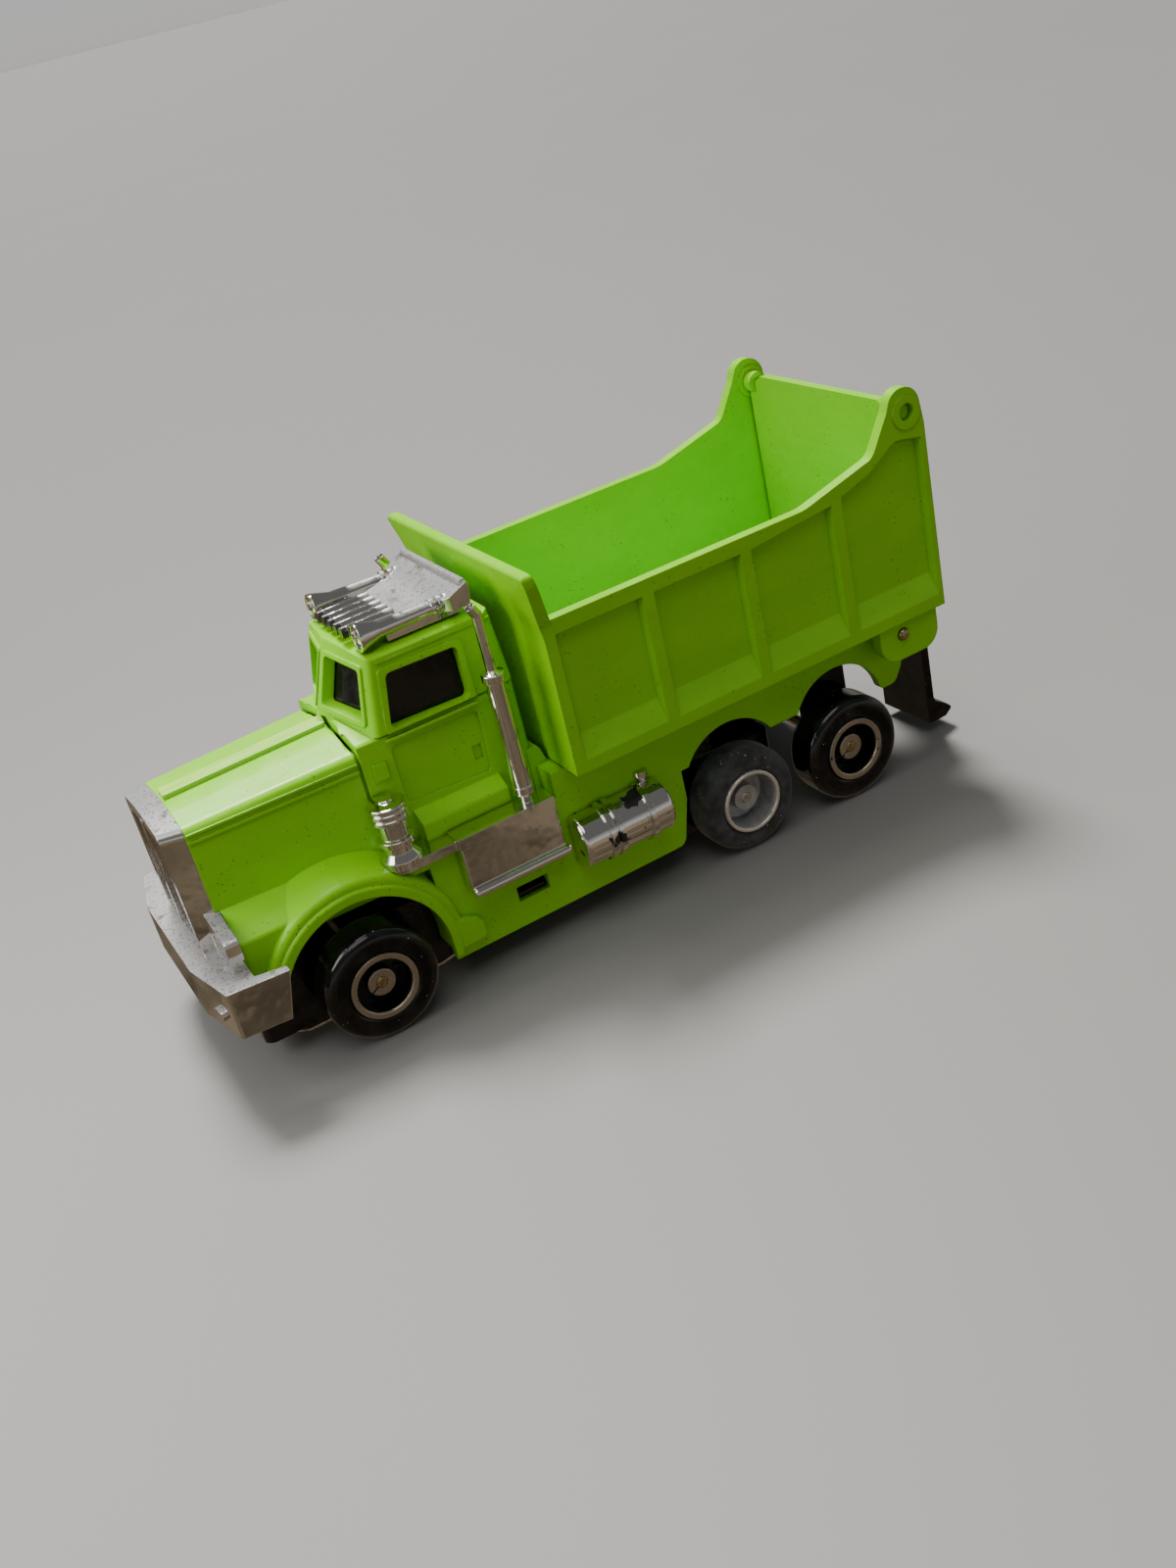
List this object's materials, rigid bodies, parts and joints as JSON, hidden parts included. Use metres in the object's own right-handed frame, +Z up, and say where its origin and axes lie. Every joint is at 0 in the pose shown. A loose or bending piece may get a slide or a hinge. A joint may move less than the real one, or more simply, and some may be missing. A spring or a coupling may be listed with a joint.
{
  "type": "toy dump truck",
  "caption": "Slot-track toy dump truck with a tipping bed, hanging tailgate, chromed trim, electric motor drive and sprung pickup shoes.",
  "frame": {"origin": "bottom centre of the bounding box, on the ground between bumper and lever toe", "axes": "+X towards the front bumper, +Y to the truck's left, +Z up"},
  "size_m": [0.1012, 0.0352, 0.0478],
  "materials": {
    "green_plastic": "glossy moulded",
    "chrome_plate": "vacuum plated plastic, slightly pitted",
    "glazing": "dark tinted, clear gloss",
    "black_plastic": "glossy moulded",
    "white_plastic": "satin",
    "rim_grey": "satin silver",
    "rubber_tyre": "matt, dusty",
    "steel": "plain",
    "brass": "plain",
    "copper": "copper coloured",
    "carbon": "matt",
    "iron": "laminated",
    "ferrite": "matt, sintered"
  },
  "bodies": {
    "truck": {"cab_body": "green_plastic", "window_insert": "glazing", "grille": "chrome_plate", "front_bumper": "chrome_plate", "roof_trim": "chrome_plate", "chassis": "black_plastic", "axle_carrier": "black_plastic", "hinge_pin": "brass", "side_trim_left": "chrome_plate", "side_trim_right": "chrome_plate", "fuel_tank_left": "chrome_plate", "fuel_tank_right": "chrome_plate", "magnet_left": "ferrite", "magnet_right": "ferrite", "carbon_brush_left": "carbon", "carbon_brush_right": "carbon", "brush_spring_left": "steel", "brush_spring_right": "steel", "contact_strip_left": "copper", "contact_strip_right": "copper", "shoe_spring_left": "steel", "shoe_spring_right": "steel"},
    "bed": {"dump_bed": "green_plastic", "dump_lever": "black_plastic"},
    "tailgate": {"tailgate": "green_plastic"},
    "front_wheels": {"front_axle": "steel", "front_wheel_left": "black_plastic", "front_wheel_right": "black_plastic"},
    "drive_wheels": {"drive_axle": "steel", "crown_gear": "white_plastic", "drive_rim_left": "rim_grey", "drive_rim_right": "rim_grey", "drive_tyre_left": "rubber_tyre", "drive_tyre_right": "rubber_tyre"},
    "rear_wheels": {"rear_axle": "steel", "rear_wheel_left": "black_plastic", "rear_wheel_right": "black_plastic"},
    "armature": {"motor_shaft": "steel", "armature_core": "iron", "armature_windings": "copper", "commutator": "copper", "pinion_gear": "brass"},
    "pickup_shoe_left": {"pickup_shoe_left": "steel"},
    "pickup_shoe_right": {"pickup_shoe_right": "steel"}
  },
  "joints": [
    {"name": "bed_tilt", "type": "hinge", "parent": "truck", "child": "bed", "pos_m": [-0.04045, 0, 0.0185], "axis": [0, -1, 0], "range_deg": [0, 45]},
    {"name": "tailgate_swing", "type": "hinge", "parent": "bed", "child": "tailgate", "pos_m": [-0.04435, 0, 0.0449], "axis": [0, 1, 0], "range_deg": [0, 60]},
    {"name": "front_axle_roll", "type": "hinge", "parent": "truck", "child": "front_wheels", "pos_m": [0.03305, 0, 0.0066], "axis": [0, 1, 0], "continuous": true},
    {"name": "drive_axle_roll", "type": "hinge", "parent": "truck", "child": "drive_wheels", "pos_m": [-0.01585, 0, 0.0065], "axis": [0, 1, 0], "continuous": true},
    {"name": "rear_axle_roll", "type": "hinge", "parent": "truck", "child": "rear_wheels", "pos_m": [-0.03135, 0, 0.0066], "axis": [0, 1, 0], "continuous": true},
    {"name": "armature_spin", "type": "hinge", "parent": "truck", "child": "armature", "pos_m": [0, 0, 0.0065], "axis": [1, 0, 0], "continuous": true},
    {"name": "pickup_shoe_left_lift", "type": "hinge", "parent": "truck", "child": "pickup_shoe_left", "pos_m": [0.04385, 0.0061, 0.0031], "axis": [0, 1, 0], "range_deg": [0, 2.5], "stiffness_Nm_per_rad": 0.005, "springref_deg": -8.59, "deforming": ["shoe_spring_left"]},
    {"name": "pickup_shoe_right_lift", "type": "hinge", "parent": "truck", "child": "pickup_shoe_right", "pos_m": [0.04385, -0.0061, 0.0031], "axis": [0, 1, 0], "range_deg": [0, 2.5], "stiffness_Nm_per_rad": 0.005, "springref_deg": -8.59, "deforming": ["shoe_spring_right"]}
  ],
  "couplings": [
    {"joint": "armature_spin", "follows": "drive_axle_roll", "ratio": 3}
  ]
}
